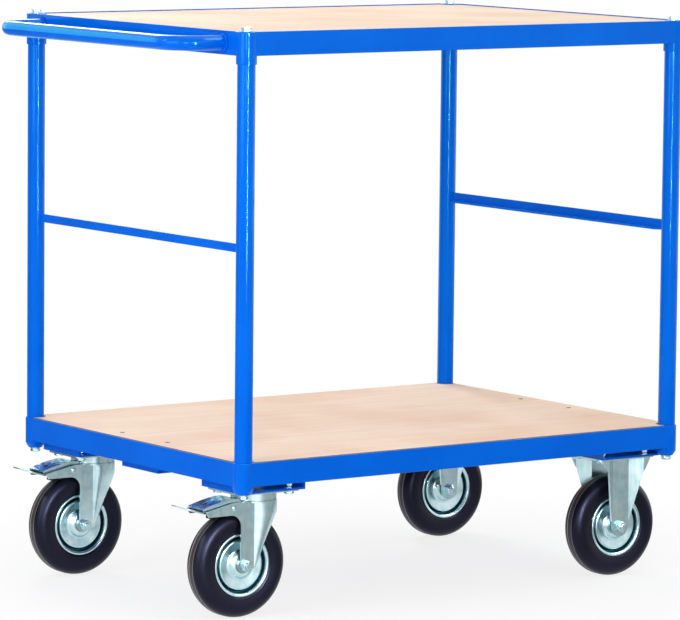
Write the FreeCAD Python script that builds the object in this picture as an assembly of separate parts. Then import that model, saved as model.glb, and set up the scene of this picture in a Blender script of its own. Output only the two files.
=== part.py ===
import FreeCAD
import Part
import math
import os
from FreeCAD import Vector

# Two-tier shelf trolley. Millimetres, +Z up, +X towards the far end, the push handle at -X.
# The origin is on the floor, under the middle of the whole trolley.

# Posts and the two frames
post_pitch_x = 1000.0
post_pitch_y = 730.0
post_r = 16.85
post_wall = 2.25
lower_frame_z = 259.0
upper_frame_z = 1051.0
rail_height = 44.0
rail_thickness = 4.0
rail_face_offset = 18.0
ledge_width = 44.0
board_thickness = 18.0
board_lip = 2.0
board_gap = 1.0

# Corner sockets that hold the posts, and the bolts through their closed ends
socket_r = 19.3
socket_bore_r = 17.05
socket_height = 60.0
socket_floor = 5.0
socket_round = 4.0
bolt_r = 5.0
bolt_hole_r = 5.5
bolt_head_flats = 17.0
bolt_head_height = 6.4
nut_height = 8.0
thread_gap = 0.05
washer_r = 10.0
washer_thickness = 2.0
insert_length = 30.0
post_bolt_length = 32.0

# Tie rails half way up the two short ends
tie_top_z = 705.0
tie_short_leg = 16.0
tie_long_leg = 20.0
tie_thickness = 3.0
tie_end_gap = 16.0

# Push handle
handle_r = 14.0
handle_wall = 2.0
handle_reach = 118.0
handle_inset = 50.0
handle_bend_r = 58.0
weld_size = 3.0

# Channel under the lower board
channel_width = 126.0
channel_bottom_z = 243.0
channel_wall = 3.0
channel_inset = 9.0

# Board screws
screw_r = 2.4
screw_head_r = 5.0
screw_head_depth = 2.6
screw_inset = 20.0
screw_pitch = 158.0

# Castor brackets and their bolts
castor_height = 240.0
swivel_inset_x = 80.0
rigid_inset_x = 72.0
castor_inset_y = 84.0
bracket_length = 144.0
bracket_width = 132.0
bracket_wall = 4.0
bracket_hole_r = 22.0
castor_bolt_x = 105.0
castor_bolt_y = 80.0
castor_bolt_end = 3.0

# Castor plates, forks and swivel heads
plate_length = 138.0
plate_width = 112.0
plate_thickness = 4.0
plate_corner_r = 10.0
fork_wall = 3.0
fork_half_gap = 31.0
trail = 39.0
leg_back = 11.0
leg_front = 18.5
flank_tip_z = 95.0
flank_tip_width = 3.0
flank_tip_bulge = 0.2
flank_full_z = 197.0
crown_crest_x = 6.0
flank_edge_x = 34.0
flank_edge_y = 28.0
arm_end_x = -127.0
arm_end_z = 207.0
arm_low_z = 197.0
arm_slant = 6.0
throat_r = 22.0
rigid_web_half = 20.0
rigid_flank_z = 112.0
rigid_knee_z = 211.0
rigid_flank_turn = 38.5
rigid_flank_width = 29.8
rigid_tip_width = 2.0
rigid_knee_facet = 2.5
rigid_facet_width = 16.0
rigid_fold = 1.2
crown_z = 217.0
crown_r = 43.2
skirt_wall = 2.4
skirt_bottom_z = 220.8
race_inner_r = 27.0
race_outer_r = 39.0
race_bottom_z = 225.5
ball_r = 4.0
ball_track_r = 33.0
ball_z = 223.5
ball_count = 10
groove_gap = 0.3
kingpin_r = 8.0
kingpin_head_r = 12.0
kingpin_head_height = 7.7
kingpin_nut_flats = 24.0
running_gap = 0.06

# Wheels
wheel_r = 100.0
tyre_half_width = 25.0
tyre_seat_r = 56.0
tyre_seat_half = 17.8
bead_r = 60.4
bead_half = 20.5
bead_gap = 0.1
shoulder_r = 19.0
rim_bore_r = 13.5
hub_half_length = 30.4
axle_r = 9.0
axle_end_r = 6.0
axle_head_flats = 19.0
axle_head_height = 8.0
axle_nut_height = 10.0
axle_end = 2.0

# Brake pedals: the pivot's place from the kingpin, and the travel from released to pressed
pivot_x = -64.0
pivot_z = 210.0
pedal_travel = 9.0
pedal_sheet = 2.5
pedal_half_width = 26.0
hood_rear_x = -47.5
pin_r = 3.5
pin_head_r = 5.5
pin_head_height = 2.5
boss_r = 5.8
shoe_gap = 1.0
shoe_half_width = 10.0
shoe_back_x = -99.5
shoe_front_x = -80.0
tongue_half = 30.0
tab_half = 9.0
spring_half_width = 6.0

# Places worked out from the sizes above
total_length = handle_reach + handle_r + post_pitch_x - rigid_inset_x + wheel_r
left_x = -total_length / 2 + handle_reach + handle_r
right_x = left_x + post_pitch_x
front_y = -post_pitch_y / 2
back_y = post_pitch_y / 2
corners = [(x, y) for x in (left_x, right_x) for y in (front_y, back_y)]
frame_levels = {"lower": lower_frame_z, "upper": upper_frame_z}
ledge_top = rail_height - board_lip - board_thickness
ledge_bottom = ledge_top - rail_thickness
fork_outer = fork_half_gap + fork_wall
plate_z = castor_height - plate_thickness
crown_top_z = crown_z + fork_wall
swivel_x = left_x + swivel_inset_x
rigid_x = right_x - rigid_inset_x
castor_ys = {"front": front_y + castor_inset_y, "back": back_y - castor_inset_y}
half_bolt_x = castor_bolt_x / 2
half_bolt_y = castor_bolt_y / 2
bolt_places = [(x, y) for x in (-half_bolt_x, half_bolt_x) for y in (-half_bolt_y, half_bolt_y)]
axis_y = Vector(0, 1, 0)
axis_z = Vector(0, 0, 1)


def block(low, high):
    """A box between two opposite corners."""
    low = Vector(*low)
    size = Vector(*high) - low
    return Part.makeBox(size.x, size.y, size.z, low)


def rod(radius, start, end):
    """A round bar between two points."""
    start = Vector(*start)
    along = Vector(*end) - start
    return Part.makeCylinder(radius, along.Length, start, along)


def hexagon(flats, start, end):
    """A hexagon bar between two points on a line along Y or Z."""
    start = Vector(*start)
    along = Vector(*end) - start
    first = Vector(flats / math.sqrt(3), 0, 0)
    turns = [FreeCAD.Rotation(along, 60 * step) for step in range(6)]
    points = [start + turn.multVec(first) for turn in turns]
    return Part.Face(Part.makePolygon(points + points[:1])).extrude(along)


def outline(start, *steps):
    """A closed wire. Each step is the next point, or a list of an arc's middle and end points."""
    edges = []
    here = start
    for step in steps + (start,):
        end = step[-1] if isinstance(step, list) else step
        if here.distanceToPoint(end) > 1e-6:
            if isinstance(step, list):
                edges.append(Part.Arc(here, *step).toShape())
            else:
                edges.append(Part.LineSegment(here, end).toShape())
        here = end
    return Part.Wire(edges)


def side(x, z, y=0.0):
    """A point of a side view."""
    return Vector(x, y, z)


def on_circle(centre_x, centre_z, radius, degrees):
    """A side view's point on a circle."""
    angle = math.radians(degrees)
    return side(centre_x + radius * math.cos(angle), centre_z + radius * math.sin(angle))


def extruded_y(wire, y0, y1):
    """A flat side-view wire made into a wall from y0 to y1."""
    face = Part.Face(wire)
    face.translate(Vector(0, y0, 0))
    return face.extrude(Vector(0, y1 - y0, 0))


def turned(wire):
    """A wire of radius and width points in the XY plane, turned about the Y axis."""
    return Part.Face(wire).revolve(Vector(0, 0, 0), axis_y, 360)


def mirrored_y(shape):
    return shape.mirror(Vector(0, 0, 0), axis_y)


def mirrored_x(shape):
    return shape.mirror(Vector(0, 0, 0), Vector(1, 0, 0))


def moved(shape, x, y, z=0.0):
    copy = shape.copy()
    copy.translate(Vector(x, y, z))
    return copy


def fused(first, *others):
    return first.fuse(list(others)).removeSplitter()


def save(node, *solids):
    """Writes the solids of one node."""
    shape = solids[0] if len(solids) == 1 else Part.makeCompound(list(solids))
    shape.exportStep("parts/" + node + ".step")


def frame_rails(level, base_z):
    """Tee-section rails laid on their sides: a tall outer face and a ledge that carries the board."""
    top_z = base_z + rail_height
    low_ledge = base_z + ledge_bottom
    high_ledge = base_z + ledge_top
    below = base_z - socket_height
    above = top_z + socket_height
    sockets = [rod(socket_r, (x, y, below), (x, y, above)) for x, y in corners]
    for name, y, inward in (("front", front_y, 1), ("back", back_y, -1)):
        face = y - inward * rail_face_offset
        skin = face + inward * rail_thickness
        tip = face + inward * ledge_width
        flange = block((left_x, min(face, skin), base_z), (right_x, max(face, skin), top_z))
        ledge = block((left_x, min(skin, tip), low_ledge), (right_x, max(skin, tip), high_ledge))
        save(level + "_rail_" + name, fused(flange, ledge).cut(sockets))
    ledge_y = back_y + rail_face_offset - ledge_width
    for name, x, inward in (("handle_end", left_x, 1), ("far_end", right_x, -1)):
        face = x - inward * rail_face_offset
        skin = face + inward * rail_thickness
        tip = face + inward * ledge_width
        flange = block((min(face, skin), front_y, base_z), (max(face, skin), back_y, top_z))
        ledge = block((min(skin, tip), -ledge_y, low_ledge), (max(skin, tip), ledge_y, high_ledge))
        rail = fused(flange, ledge).cut(sockets)
        screw_x = x + inward * screw_inset
        hole_r = screw_r + running_gap
        holes = [rod(hole_r, (screw_x, y, low_ledge), (screw_x, y, high_ledge)) for y in screw_ys()]
        save(level + "_rail_" + name, rail.cut(holes))


def screw_ys():
    return (-screw_pitch / 2, screw_pitch / 2)


def board_screw(x, y, head_z, up):
    """A countersunk screw, its head at head_z, pointing up or down."""
    way = 1 if up else -1
    neck_z = head_z + way * screw_head_depth
    end_z = head_z + way * (board_thickness + rail_thickness)
    head = Part.makeCone(screw_head_r, screw_r, screw_head_depth, Vector(x, y, head_z), axis_z * way)
    return fused(head, rod(screw_r, (x, y, neck_z), (x, y, end_z)))


def boards():
    """Beech-faced boards, notched round the posts and screwed to the end ledges."""
    edge_x = rail_face_offset - rail_thickness - board_gap
    screws = []
    for level, base_z in frame_levels.items():
        low = base_z + ledge_top
        high = low + board_thickness
        board = block((left_x - edge_x, front_y - edge_x, low), (right_x + edge_x, back_y + edge_x, high))
        notches = [rod(socket_r + board_gap, (x, y, low), (x, y, high)) for x, y in corners]
        seats = []
        for x in (left_x + screw_inset, right_x - screw_inset):
            for y in screw_ys():
                if level == "lower":
                    screws.append(board_screw(x, y, high, False))
                else:
                    screws.append(board_screw(x, y, low - rail_thickness - screw_head_depth, True))
                seats.append(screws[-1])
        save(level + "_board", board.cut(notches + seats))
    save("board_screws", *screws)


def corner_socket():
    """A cup for a post's end, closed and rounded at the bottom, with its floor's lower face at z = 0."""
    cup = rod(socket_r, (0, 0, 0), (0, 0, socket_height))
    bottom = [e for e in cup.Edges if e.BoundBox.ZMax < 1e-6]
    cup = cup.makeFillet(socket_round, bottom)
    bore = rod(socket_bore_r, (0, 0, socket_floor), (0, 0, socket_height))
    return cup.cut([bore, rod(bolt_hole_r, (0, 0, 0), (0, 0, socket_floor))])


def sockets_posts_and_bolts():
    """Posts stand in the lower sockets and under the upper ones, with a bolt into each post's end."""
    low_z = lower_frame_z + rail_height - socket_height
    high_z = upper_frame_z + rail_height
    post_low = low_z + socket_floor
    post_high = high_z - socket_floor
    cup = corner_socket()
    cap = cup.mirror(Vector(0, 0, 0), axis_z)
    save("lower_corner_sockets", *[moved(cup, x, y, low_z) for x, y in corners])
    save("upper_corner_sockets", *[moved(cap, x, y, high_z) for x, y in corners])
    bore_r = post_r - post_wall
    tube = rod(post_r, (0, 0, post_low), (0, 0, post_high))
    tube = tube.cut(rod(bore_r, (0, 0, post_low), (0, 0, post_high)))
    names = ("handle_front", "handle_back", "far_front", "far_back")
    for name, (x, y) in zip(names, corners):
        save("post_" + name, moved(tube, x, y))
    insert = rod(bore_r - thread_gap, (0, 0, 0), (0, 0, insert_length))
    insert = insert.cut(rod(bolt_r + thread_gap, (0, 0, 0), (0, 0, insert_length)))
    washer = rod(washer_r, (0, 0, 0), (0, 0, -washer_thickness))
    washer = washer.cut(rod(bolt_hole_r, (0, 0, 0), (0, 0, -washer_thickness)))
    head_z = -washer_thickness - bolt_head_height
    bolt = fused(hexagon(bolt_head_flats, (0, 0, head_z), (0, 0, -washer_thickness)),
                 rod(bolt_r, (0, 0, -washer_thickness), (0, 0, post_bolt_length)))
    inserts = []
    washers = []
    bolts = []
    for x, y in corners:
        inserts += [moved(insert, x, y, post_low), moved(insert, x, y, post_high - insert_length)]
        for group, piece in ((washers, washer), (bolts, bolt)):
            over = piece.mirror(Vector(0, 0, 0), axis_z)
            group += [moved(piece, x, y, low_z), moved(over, x, y, high_z)]
    save("post_nut_inserts", *inserts)
    save("post_washers", *washers)
    save("post_bolts", *bolts)


def tie_rails():
    """Angles welded between the posts of each short end, one leg upright and one pointing inwards."""
    for name, x, inward, upright, flat in (("handle_end", left_x, 1, tie_short_leg, tie_long_leg),
                                           ("far_end", right_x, -1, tie_long_leg, tie_short_leg)):
        half = tie_thickness / 2
        low_z = tie_top_z - upright
        web = block((x - half, front_y, low_z), (x + half, back_y, tie_top_z))
        root = x + inward * half
        tip = x + inward * (flat - half)
        long_y = back_y - tie_end_gap
        short_y = long_y - flat
        foot = Part.Face(outline(Vector(root, -long_y, low_z), Vector(tip, -short_y, low_z),
                                 Vector(tip, short_y, low_z), Vector(root, long_y, low_z)))
        foot = foot.extrude(Vector(0, 0, tie_thickness))
        posts = [rod(post_r, (x, y, low_z), (x, y, tie_top_z)) for y in (front_y, back_y)]
        save("tie_rail_" + name, fused(web, foot).cut(posts))


def push_handle():
    """A bent tube welded to the outer face of the upper end rail."""
    z = upper_frame_z + rail_height / 2
    face_x = left_x - rail_face_offset
    bar_x = left_x - handle_reach
    arm_y = back_y - handle_inset
    bend_x = bar_x + handle_bend_r
    bend_y = arm_y - handle_bend_r
    slack = handle_bend_r * (1 - math.sqrt(0.5))
    path = Part.Wire([
        Part.LineSegment(Vector(face_x, -arm_y, z), Vector(bend_x, -arm_y, z)).toShape(),
        Part.Arc(Vector(bend_x, -arm_y, z), Vector(bar_x + slack, -arm_y + slack, z),
                 Vector(bar_x, -bend_y, z)).toShape(),
        Part.LineSegment(Vector(bar_x, -bend_y, z), Vector(bar_x, bend_y, z)).toShape(),
        Part.Arc(Vector(bar_x, bend_y, z), Vector(bar_x + slack, arm_y - slack, z),
                 Vector(bend_x, arm_y, z)).toShape(),
        Part.LineSegment(Vector(bend_x, arm_y, z), Vector(face_x, arm_y, z)).toShape(),
    ])
    tubes = []
    for radius in (handle_r, handle_r - handle_wall):
        ring = Part.Wire(Part.makeCircle(radius, Vector(face_x, -arm_y, z), Vector(1, 0, 0)))
        tubes.append(path.makePipeShell([ring], True, False))
    outwards = Vector(-1, 0, 0)
    welds = [Part.makeCone(handle_r + weld_size, handle_r, weld_size, Vector(face_x, y, z), outwards)
             for y in (-arm_y, arm_y)]
    save("push_handle", fused(tubes[0], *welds).cut(tubes[1]))


def deck_channel():
    """A shallow pan along the middle, welded under the ledges of the two end rails."""
    half = channel_width / 2
    top_z = lower_frame_z + ledge_bottom
    x0 = left_x + channel_inset
    x1 = right_x - channel_inset
    pan = block((x0, -half, channel_bottom_z), (x1, half, top_z))
    hollow = block((x0 + channel_wall, -half + channel_wall, channel_bottom_z + channel_wall),
                   (x1 - channel_wall, half - channel_wall, top_z))
    save("deck_support_channel", pan.cut(hollow))


def castor_brackets():
    """Short channels of three welded plates under the ledges, each with a castor bolted below it."""
    top_z = lower_frame_z + ledge_bottom
    floor_z = castor_height + bracket_wall
    half_x = bracket_length / 2
    half_y = bracket_width / 2
    sockets = [rod(socket_r, (x, y, castor_height), (x, y, top_z)) for x, y in corners]
    holes = [rod(bolt_hole_r, (x, y, castor_height), (x, y, floor_z)) for x, y in bolt_places]
    holes.append(rod(bracket_hole_r, (0, 0, castor_height), (0, 0, floor_z)))
    floor = block((-half_x, -half_y, castor_height), (half_x, half_y, floor_z)).cut(holes)
    wall = block((half_x - bracket_wall, -half_y, floor_z), (half_x, half_y, top_z))
    plates = (floor, wall, mirrored_x(wall))
    nut_top = floor_z + nut_height
    bolt = fused(hexagon(bolt_head_flats, (0, 0, plate_z - bolt_head_height), (0, 0, plate_z)),
                 rod(bolt_r, (0, 0, plate_z), (0, 0, nut_top + castor_bolt_end)))
    nut = hexagon(bolt_head_flats, (0, 0, floor_z), (0, 0, nut_top))
    nut = nut.cut(rod(bolt_r + thread_gap, (0, 0, floor_z), (0, 0, nut_top)))
    places = [(x, y) for x in (swivel_x, rigid_x) for y in castor_ys.values()]
    each_bolt = [(x + dx, y + dy) for x, y in places for dx, dy in bolt_places]
    save("castor_brackets", *[moved(each, x, y).cut(sockets) for x, y in places for each in plates])
    save("castor_bolts", *[moved(bolt, x, y) for x, y in each_bolt])
    save("castor_nuts", *[moved(nut, x, y) for x, y in each_bolt])


def castor_plate():
    """A castor's own plate with rounded corners and its bolt holes, centred on the castor."""
    half_x = plate_length / 2
    half_y = plate_width / 2
    plate = block((-half_x, -half_y, plate_z), (half_x, half_y, castor_height))
    upright = [e for e in plate.Edges if e.BoundBox.ZLength > plate_thickness / 2]
    plate = plate.makeFillet(plate_corner_r, upright)
    return plate.cut([rod(bolt_hole_r, (x, y, plate_z), (x, y, castor_height)) for x, y in bolt_places])


def ball_groove(gap):
    return Part.makeTorus(ball_track_r, ball_r + gap, Vector(0, 0, ball_z), axis_z)


def swivel_heads():
    """Fixed halves of the two swivel castors: plate, the cup with its upper race, balls and kingpin."""
    roof_z = plate_z - skirt_wall
    race = rod(race_outer_r, (0, 0, race_bottom_z), (0, 0, roof_z))
    cup = rod(crown_r, (0, 0, skirt_bottom_z), (0, 0, plate_z))
    cup = cup.cut(rod(crown_r - skirt_wall, (0, 0, skirt_bottom_z), (0, 0, roof_z)))
    cup = fused(cup, race).cut([rod(race_inner_r, (0, 0, race_bottom_z), (0, 0, plate_z)),
                                ball_groove(thread_gap)])
    plate = castor_plate().cut(rod(kingpin_r, (0, 0, plate_z), (0, 0, castor_height)))
    ball = Part.makeSphere(ball_r, Vector(ball_track_r, 0, ball_z))
    ring = []
    for step in range(ball_count):
        ring.append(ball.copy())
        ring[-1].rotate(Vector(0, 0, 0), axis_z, 360.0 * step / ball_count)
    head_top = crown_z - groove_gap
    pin = fused(rod(kingpin_head_r, (0, 0, head_top - kingpin_head_height), (0, 0, head_top)),
                rod(kingpin_r, (0, 0, head_top), (0, 0, castor_height)),
                hexagon(kingpin_nut_flats, (0, 0, castor_height), (0, 0, castor_height + nut_height)))
    ys = castor_ys.values()
    save("swivel_plates", *[moved(each, swivel_x, y) for y in ys for each in (plate, cup)])
    save("swivel_bearing_balls", *[moved(each, swivel_x, y) for y in ys for each in ring])
    save("kingpins", *[moved(pin, swivel_x, y) for y in ys])


def swivel_fork():
    """A pressed fork: flat legs, bulging front flanks that taper to the axle, arms behind for the pedal."""
    back = -trail - leg_back
    fold = -trail + leg_front
    drop = flank_tip_z - wheel_r
    touch = math.degrees(math.atan2(drop, leg_front) - math.acos(leg_back / math.hypot(leg_front, drop)))
    leg = outline(
        side(back, wheel_r), side(back, arm_low_z - throat_r),
        [on_circle(back - throat_r, arm_low_z - throat_r, throat_r, 45), side(back - throat_r, arm_low_z)],
        side(arm_end_x + arm_slant, arm_low_z), side(arm_end_x, arm_end_z),
        side(pivot_x, crown_top_z), side(fold, crown_top_z), side(fold, flank_tip_z),
        on_circle(-trail, wheel_r, leg_back, touch),
        [on_circle(-trail, wheel_r, leg_back, (touch - 180) / 2), side(back, wheel_r)])
    wall = extruded_y(leg, -fork_outer, -fork_half_gap)
    tip = fold + flank_tip_width
    sections = []
    for z, crest_x, bulge, edge_x, edge_y in (
            (flank_tip_z, (fold + tip) / 2, flank_tip_bulge, tip, fork_outer),
            (flank_full_z, crown_crest_x, crown_r - fork_outer, flank_edge_x, flank_edge_y)):
        sections.append(outline(
            Vector(fold, -fork_outer, z),
            [Vector(crest_x, -fork_outer - bulge, z), Vector(edge_x, -edge_y, z)],
            Vector(edge_x, fork_wall - edge_y, z),
            [Vector(crest_x, -fork_half_gap - bulge, z), Vector(fold, -fork_half_gap, z)]))
    flank = fused(Part.makeLoft(sections, True, True),
                  Part.Face(sections[1]).extrude(axis_z * (crown_top_z - flank_full_z)))
    crown = rod(crown_r, (0, 0, crown_z), (0, 0, crown_top_z))
    bridge = block((back + fork_wall, -fork_outer, crown_z), (0, fork_outer, crown_top_z))
    fork = fused(crown, bridge, wall, mirrored_y(wall), flank, mirrored_y(flank))
    return fork.cut([
        ball_groove(groove_gap),
        rod(kingpin_r + running_gap, (0, 0, crown_z), (0, 0, crown_top_z)),
        rod(axle_end_r, (-trail, -fork_outer, wheel_r), (-trail, fork_outer, wheel_r)),
        rod(pin_r, (pivot_x, -fork_outer, pivot_z), (pivot_x, fork_outer, pivot_z)),
    ])


def rigid_fork():
    """A pressed fork with no swivel: plate and two legs whose folded flanks flare out towards the plate."""
    half = rigid_web_half
    leg = outline(side(-half, plate_z), side(half, plate_z), side(half, wheel_r),
                  [side(0, wheel_r - half), side(-half, wheel_r)])
    wall = extruded_y(leg, -fork_outer, -fork_half_gap)
    turn = math.radians(rigid_flank_turn)
    along = Vector(math.cos(turn), -math.sin(turn), 0)
    inwards = Vector(math.sin(turn), math.cos(turn), 0) * fork_wall
    flat = Vector(0, fork_wall, 0)
    sections = []
    facets = []
    for z, width, facet in ((rigid_flank_z, rigid_tip_width, 0),
                            (rigid_knee_z, rigid_flank_width, rigid_knee_facet),
                            (plate_z, rigid_flank_width, rigid_facet_width)):
        knee = Vector(half, -fork_outer, z) + along * width
        sections.append(outline(
            Vector(half, -fork_outer, z), knee, knee + inwards,
            Vector(half + rigid_fold, -fork_half_gap, z), Vector(half, -fork_half_gap, z)))
        if facet:
            edge = knee + Vector(facet, 0, 0)
            facets.append(outline(knee, edge, edge + flat, knee + inwards))
    flank = fused(*[Part.makeLoft(pair, True, True) for pair in (sections[:2], sections[1:], facets)])
    near = fused(wall, flank, mirrored_x(flank))
    fork = fused(castor_plate(), near, mirrored_y(near))
    return fork.cut(rod(axle_end_r, (0, -fork_outer, wheel_r), (0, fork_outer, wheel_r)))


def axle():
    """A shoulder bolt through the legs, about the Y axis, and its nut on the -Y side."""
    nut_end = -fork_outer - axle_nut_height
    shank = fused(rod(axle_r, (0, -fork_half_gap, 0), (0, fork_half_gap, 0)),
                  rod(axle_end_r - thread_gap, (0, nut_end - axle_end, 0), (0, fork_outer, 0)),
                  hexagon(axle_head_flats, (0, fork_outer, 0), (0, fork_outer + axle_head_height, 0)))
    nut = hexagon(axle_head_flats, (0, -fork_outer, 0), (0, nut_end, 0))
    return shank, nut.cut(rod(axle_end_r, (0, -fork_outer, 0), (0, nut_end, 0)))


def tyre():
    """Solid rubber tyre: a flat tread, round shoulders, bulging sides and a bead seat."""
    seat = Vector(tyre_seat_r, tyre_seat_half, 0)
    bead = Vector(bead_r, bead_half, 0)
    wall = Vector(wheel_r - shoulder_r, tyre_half_width, 0)
    rise = wall.x - bead.x
    spread = wall.y - bead.y
    bulge_r = (rise ** 2 + spread ** 2) / (2 * spread)
    half_turn = math.asin(rise / bulge_r) / 2
    bulge = Vector(wall.x - bulge_r * math.sin(half_turn), wall.y - bulge_r * (1 - math.cos(half_turn)), 0)
    bend = Vector(wall.x + shoulder_r * math.sqrt(0.5), wall.y - shoulder_r * (1 - math.sqrt(0.5)), 0)
    tread = Vector(wheel_r, tyre_half_width - shoulder_r, 0)
    far = [Vector(p.x, -p.y, 0) for p in (tread, bend, wall, bulge, bead, seat)]
    return turned(outline(seat, bead, [bulge, wall], [bend, tread],
                          far[0], [far[1], far[2]], [far[3], far[4]], far[5]))


def rim_half():
    """One pressed half: tyre seat, hub boss, dished disc, deep groove and rolled lip, as radius and width."""
    seat = [(tyre_seat_r, 0.0), (53.8, 0.0), (53.8, 5.8), (48.4, 5.8)]
    back = [(45.6, 15.8), (44.6, 16.4), (29.0, 12.3), (24.6, 14.0),
            (20.4, 19.3), (16.0, 21.2), (rim_bore_r, 21.2)]
    face = [(rim_bore_r, 23.5), (16.5, 23.5), (22.0, 21.5), (26.0, 16.2),
            (29.0, 14.5), (45.0, 18.7), (47.0, 17.9)]
    lip = [(50.2, 8.0), (53.2, 8.0), (54.2, 19.6), (56.2, 22.2),
           (58.4, 22.9), (60.2, 22.2), (60.2, bead_half - bead_gap)]
    return turned(outline(*[Vector(r, w, 0) for r, w in seat + back + face + lip],
                          Vector(tyre_seat_r, tyre_seat_half + bead_gap, 0)))


def hub():
    """A bearing sleeve in the rim's bosses, running on the axle."""
    outer = rod(rim_bore_r - thread_gap, (0, -hub_half_length, 0), (0, hub_half_length, 0))
    return outer.cut(rod(axle_r + running_gap, (0, -hub_half_length, 0), (0, hub_half_length, 0)))


def brake_pedal():
    """A stamped lever on the pivot pin: a tongue for the foot under an arched hood with a lanced tab."""
    half = pedal_half_width
    heel = side(-58.0, 213.5)
    knee = side(-127.0, 205.0)
    tip = side(-177.0, 221.0)
    under = Vector(0, 0, -pedal_sheet)
    lever = outline(heel, knee, tip, tip + under, knee + under, heel + under)
    sheet = extruded_y(lever, -tongue_half, tongue_half)
    shape = outline(Vector(heel.x, -half, 0), Vector(-123.0, -half, 0),
                    Vector(-130.0, -tongue_half, 0), Vector(-152.0, 2.0 - tongue_half, 0),
                    [Vector(tip.x, 0, 0), Vector(-152.0, tongue_half - 2.0, 0)],
                    Vector(-130.0, tongue_half, 0), Vector(-123.0, half, 0), Vector(heel.x, half, 0))
    sheet = sheet.common(Part.Face(shape).extrude(Vector(0, 0, tip.z)))
    crest = side(-78.0, 225.0)
    brow = side(-129.0, 212.5)
    arch = outline(heel, side(hood_rear_x, 218.0), side(hood_rear_x, 224.6), [side(-62.0, 226.6), crest],
                   [side(-104.0, 219.6), brow], brow + under, knee)
    hood = extruded_y(arch, -half, half)
    inside = extruded_y(arch, pedal_sheet - half, half - pedal_sheet)
    inside.translate(under)
    slot = block((-112.0, -tab_half, heel.z), (-86.0, tab_half, crest.z))
    tongue = outline(side(-84.0, 223.0), side(-110.0, 212.5), side(-110.0, 211.0), side(-84.0, 221.0))
    tab = extruded_y(tongue, 1.0 - tab_half, tab_half - 1.0)
    boss = rod(boss_r, (pivot_x, -half, pivot_z), (pivot_x, half, pivot_z))
    pedal = fused(sheet, hood.cut([inside, slot]), boss, tab)
    return pedal.cut(rod(pin_r, (pivot_x, -half, pivot_z), (pivot_x, half, pivot_z)))


def brake_shoe(pedal):
    """A rubber block under the pedal, hollowed to lie along the tread when the pedal is down."""
    pressed = FreeCAD.Rotation(axis_y, pedal_travel)
    pivot = side(pivot_x, pivot_z)
    centre = pivot + pressed.multVec(side(-trail, wheel_r) - pivot)
    half = shoe_half_width
    body = block((shoe_back_x, -half, wheel_r), (shoe_front_x, half, pivot_z))
    tread = rod(wheel_r + shoe_gap, (centre.x, -half, centre.z), (centre.x, half, centre.z))
    pieces = body.cut([tread, pedal]).Solids
    return max(pieces, key=lambda piece: piece.Volume)


def brake_spring():
    """A leaf spring under the crown that bears on the pedal's boss and holds the pedal up or down."""
    leaf = outline(side(-16.0, crown_z), side(-42.0, crown_z), side(-59.6, 205.6), side(-58.6, 204.8),
                   side(-41.6, crown_z - 1.0), side(-16.0, crown_z - 1.0))
    return extruded_y(leaf, -spring_half_width, spring_half_width)


def brake_pin():
    """The pedal's pivot, riveted over the fork's arms."""
    pin = rod(pin_r - thread_gap, (pivot_x, -fork_outer, pivot_z), (pivot_x, fork_outer, pivot_z))
    heads = [Part.makeCone(pin_head_r, pin_r, pin_head_height, Vector(pivot_x, way * fork_outer, pivot_z),
                           axis_y * way) for way in (-1, 1)]
    return fused(pin, *heads)


def castors():
    """Two braked swivel castors at the handle end and two rigid ones at the far end."""
    bolt, nut = axle()
    rim = rim_half()
    wheel = {"tyre": [tyre()], "rim": [rim, mirrored_y(rim)], "hub": [hub()]}
    pedal = brake_pedal()
    turning = {"swivel_fork": swivel_fork(), "brake_pin": brake_pin(), "brake_spring": brake_spring(),
               "brake_pedal": pedal, "brake_shoe": brake_shoe(pedal),
               "axle_bolt": moved(bolt, -trail, 0, wheel_r), "axle_nut": moved(nut, -trail, 0, wheel_r)}
    fork = rigid_fork()
    for name, y in castor_ys.items():
        for piece, shape in turning.items():
            save(piece + "_" + name, moved(shape, swivel_x, y))
        save("rigid_fork_" + name, moved(fork, rigid_x, y))
        for kind, x in (("swivel_", swivel_x - trail), ("rigid_", rigid_x)):
            for piece, solids in wheel.items():
                save(piece + "_" + kind + name, *[moved(each, x, y, wheel_r) for each in solids])
    save("rigid_axle_bolts", *[moved(bolt, rigid_x, y, wheel_r) for y in castor_ys.values()])
    save("rigid_axle_nuts", *[moved(nut, rigid_x, y, wheel_r) for y in castor_ys.values()])


os.makedirs("parts", exist_ok=True)
for frame_level, frame_z in frame_levels.items():
    frame_rails(frame_level, frame_z)
boards()
sockets_posts_and_bolts()
tie_rails()
push_handle()
deck_channel()
castor_brackets()
swivel_heads()
castors()
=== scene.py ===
import math
import bmesh
import bpy
import numpy as np
from mathutils import Matrix, Vector


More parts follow.
